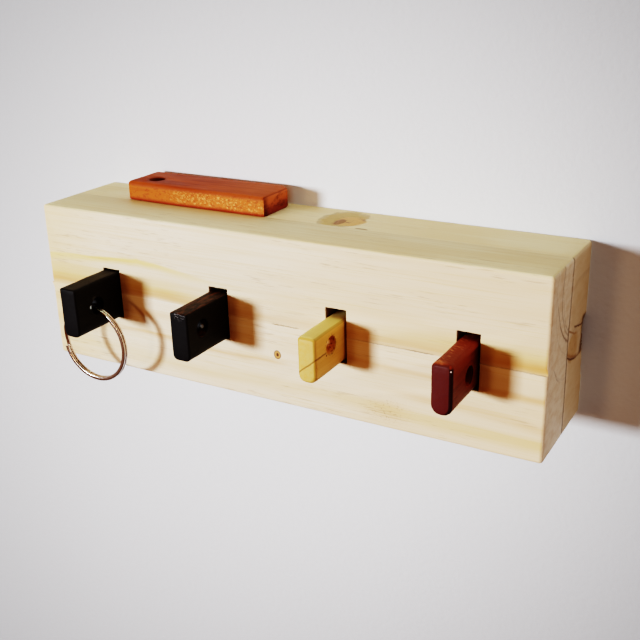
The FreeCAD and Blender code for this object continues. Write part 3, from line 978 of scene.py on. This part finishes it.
def rough_sawn(place):
    """Moves a point of the front edge into the wood where the saw has torn it, and tapers the left end."""
    left = max(0, (spare_low.x + TAPER_LENGTH - place.x) / TAPER_LENGTH)
    taper = left * TAPER * (1 - (place.y - spare_low.y) / LOOSE_WIDTH)
    place = Vector((place.x, place.y + taper, place.z))
    if place.y > spare_low.y + 0.4 or place.x < TORN_FROM:
        return place
    share = min((place.x - TORN_FROM) / TORN_FULLY, 1)
    pluck = noise.noise(Vector((place.x * 1.5, 0, place.z * 1.1))) * 0.5 + 0.5
    return Vector((place.x, place.y + PLUCKED_DEEP * share * pluck, place.z))


def spare_finish():
    """Oiled wood: its grain, its rough golden front, its dark right end and the rim of its hole."""
    material, shader, place, facing = finish("orange_hardwood")
    x, y, z = place.axes()
    across, out, up = facing.axes()
    streak = place.noise((0.05, 0.55, 0.55), 3, 0.6)
    fine = place.noise((0.10, 2.4, 2.4), 3, 0.65)
    wood = place.mixed(ORANGE, ORANGE_DEEP, streak.rise(0.35, 0.68) * 0.8)
    wood = wood.over(ORANGE_HAIR, fine.rise(0.52, 0.72) * 0.45)
    wood = wood.over(ORANGE_LIT, x.rise(-40, -14) * 0.5)
    side = (0 - out).rise(0.4, 0.8)
    golden = place.mixed(GOLD, GOLD_LIT, x.rise(-50, -24))
    golden = golden.over(GOLD_GRAIN, streak.rise(0.5, 0.75) * 0.5)
    # Painted shade: the front side is darker along its foot, where it lies on the block
    golden = golden.over(GOLD_PAINTED_SHADE_FOOT, z.rise(27.1, 25.9) * 0.9)
    golden = golden.over(GOLD_BROW, z.rise(29.8, 30.8) * 0.75)
    flecked = place.noise((1.3, 1.3, 1.7), 3, 0.8).rise(0.49, 0.60)
    torn_part = x.rise(-50, -34) * z.rise(25.9, 27.4) * z.rise(31.0, 29.6)
    torn_part = torn_part * place.noise((0.22, 0.22, 0.5), 2).rise(0.28, 0.5)
    golden = golden.over(GOLD_MOTTLE, place.noise((0.8, 0.8, 1.1), 3, 0.7).rise(0.54, 0.64) * 0.75)
    golden = golden.over(BARE_FLECK, flecked * torn_part * 0.7)
    wood = wood.over(golden, side)
    maroon = place.mixed(MAROON, MAROON_DEEP, z.rise(30.2, 26.5))
    maroon = maroon.over(MAROON_GRAIN, place.noise((0.5, 0.22, 0.5), 3, 0.65).rise(0.46, 0.66) * 0.6)
    maroon = maroon.over(MAROON_CORNER, y.rise(-14.6, -16.4) * 0.45)
    wood = wood.over(maroon, across.rise(0.35, 0.8))
    wood = wood.over(END_EDGE, across.near(0.6, 0.25) * x.rise(-16, -10) * up.rise(0.2, 0.5) * 0.7)
    bore = ((place - LOOSE_HOLE) * (1, 1, 0)).length()
    wood = wood.over(BORED_ORANGE, bore.rise(2.75, 2.6))
    wood = wood.over(RIM_ORANGE, bore.near(3.0, 0.7) * up.rise(0.3, 0.7) * 0.6)
    sheen = streak * 0.12 + flecked * torn_part * side * 0.3 + 0.5
    height = streak * 0.12 - fine * 0.05 + flecked * torn_part * side * 0.25
    paint(shader, Base_Color=wood, Roughness=sheen, Normal=relief(height, 0.6), Specular_IOR_Level=0.08)
    return material


top_ease, base_ease = (ragged(size * 0.85, size * 1.1, 0.25, seed) for size, seed in
                       ((LOOSE_TOP_ROUND, 51), (LOOSE_BASE_ROUND, 52)))
spare_places = [(spare_low.x, spare_low.y), (spare_high.x, spare_low.y),
                (spare_high.x, spare_high.y), (spare_low.x, spare_high.y)]
spare_outline = walk([
    Corner(at, bend, 0.5 if index == 0 else 2, base_ease, top_ease)
    for index, (at, bend) in enumerate(zip(spare_places, LOOSE_CORNERS))
])
spare_layers = [spare_low.z + 0.9 + 0.4 * step for step in range(9)]
spare = slab("loose_fob_slip", 2, spare_low.z, spare_high.z, spare_outline, (), spare_layers, (),
             rough_sawn)
spare_hole = (spare_low.x + LOOSE_HOLE_FROM_END, spare_low.y + LOOSE_HOLE_FROM_FRONT)
drilled(spare, spare_hole, 2, spare_low.z, spare_high.z)
stand_in(spare, "loose_fob", spare_finish())


# The split ring is nickel-plated steel wire, rolled flat and wound twice round. One stretch crosses from
# the first turn to the second on the left, between the wire's two cut ends.
WIRE_WIDTH = 1.2
WIRE_THICKNESS = 0.8
WIRE_GAP = 0.1
WIRE_ROUND = 0.28
CROSSING_AT = 172.0
CROSSING_SPAN = 44.0
TURN_STEP = 3.0
PLATE = (0.66, 0.61, 0.58)
PLATE_WORN = (0.50, 0.42, 0.37)

ring_low, ring_high = (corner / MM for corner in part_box("split_ring"))
RING_RADIUS = (ring_high.z - ring_low.z) / 2
ring_middle = (ring_low + ring_high) / 2
ring_middle.x = ring_high.x - RING_RADIUS


def wire_section():
    """Points round the wire's flat section, as across and along, with its corners rolled round."""
    half = (WIRE_WIDTH / 2 - WIRE_ROUND, WIRE_THICKNESS / 2 - WIRE_ROUND)
    points = []
    for quarter, (u, v) in enumerate(((1, 1), (-1, 1), (-1, -1), (1, -1))):
        for step in range(4):
            turn = math.pi / 2 * (quarter + step / 3)
            across = u * half[0] + WIRE_ROUND * math.cos(turn)
            points.append((across, v * half[1] + WIRE_ROUND * math.sin(turn)))
    return points


def wound_wire():
    """The wire along its whole run: the first turn, the crossing and the second turn."""
    offset = (WIRE_THICKNESS + WIRE_GAP) / 2
    start = CROSSING_AT + CROSSING_SPAN / 2
    turn = 360 - CROSSING_SPAN
    section = wire_section()
    count = len(section)
    steps = round((2 * turn + CROSSING_SPAN) / TURN_STEP)
    verts, faces = [], []
    for step in range(steps + 1):
        run = (2 * turn + CROSSING_SPAN) * step / steps
        share = min(max((run - turn) / CROSSING_SPAN, 0), 1)
        side = -offset * math.cos(math.pi * share)
        angle = math.radians(start + run)
        out = Vector((math.cos(angle), 0, math.sin(angle)))
        for across, along in section:
            radius = RING_RADIUS - WIRE_WIDTH / 2 + across
            verts.append((ring_middle + out * radius + Vector((0, side + along, 0))) * MM)
    for step in range(steps):
        faces += between_rings(step * count, (step + 1) * count, count)
    faces += [tuple(range(count)), tuple(range(steps * count, (steps + 1) * count))]
    mesh = closed_mesh("split_ring_wire", verts, faces)
    smoothed(mesh, 50)
    return placed("split_ring_wire", mesh)


def plated_steel():
    """Nickel plate, dulled in patches by wear."""
    material, shader, place, _ = finish("plated_steel")
    worn = place.noise((0.8, 0.8, 0.8), 3)
    plate = place.mixed(PLATE, PLATE_WORN, worn.rise(0.4, 0.7))
    paint(shader, Base_Color=plate, Metallic=1.0, Roughness=worn * 0.16 + 0.12)
    return material


stand_in(wound_wire(), "split_ring", plated_steel(), "ring")
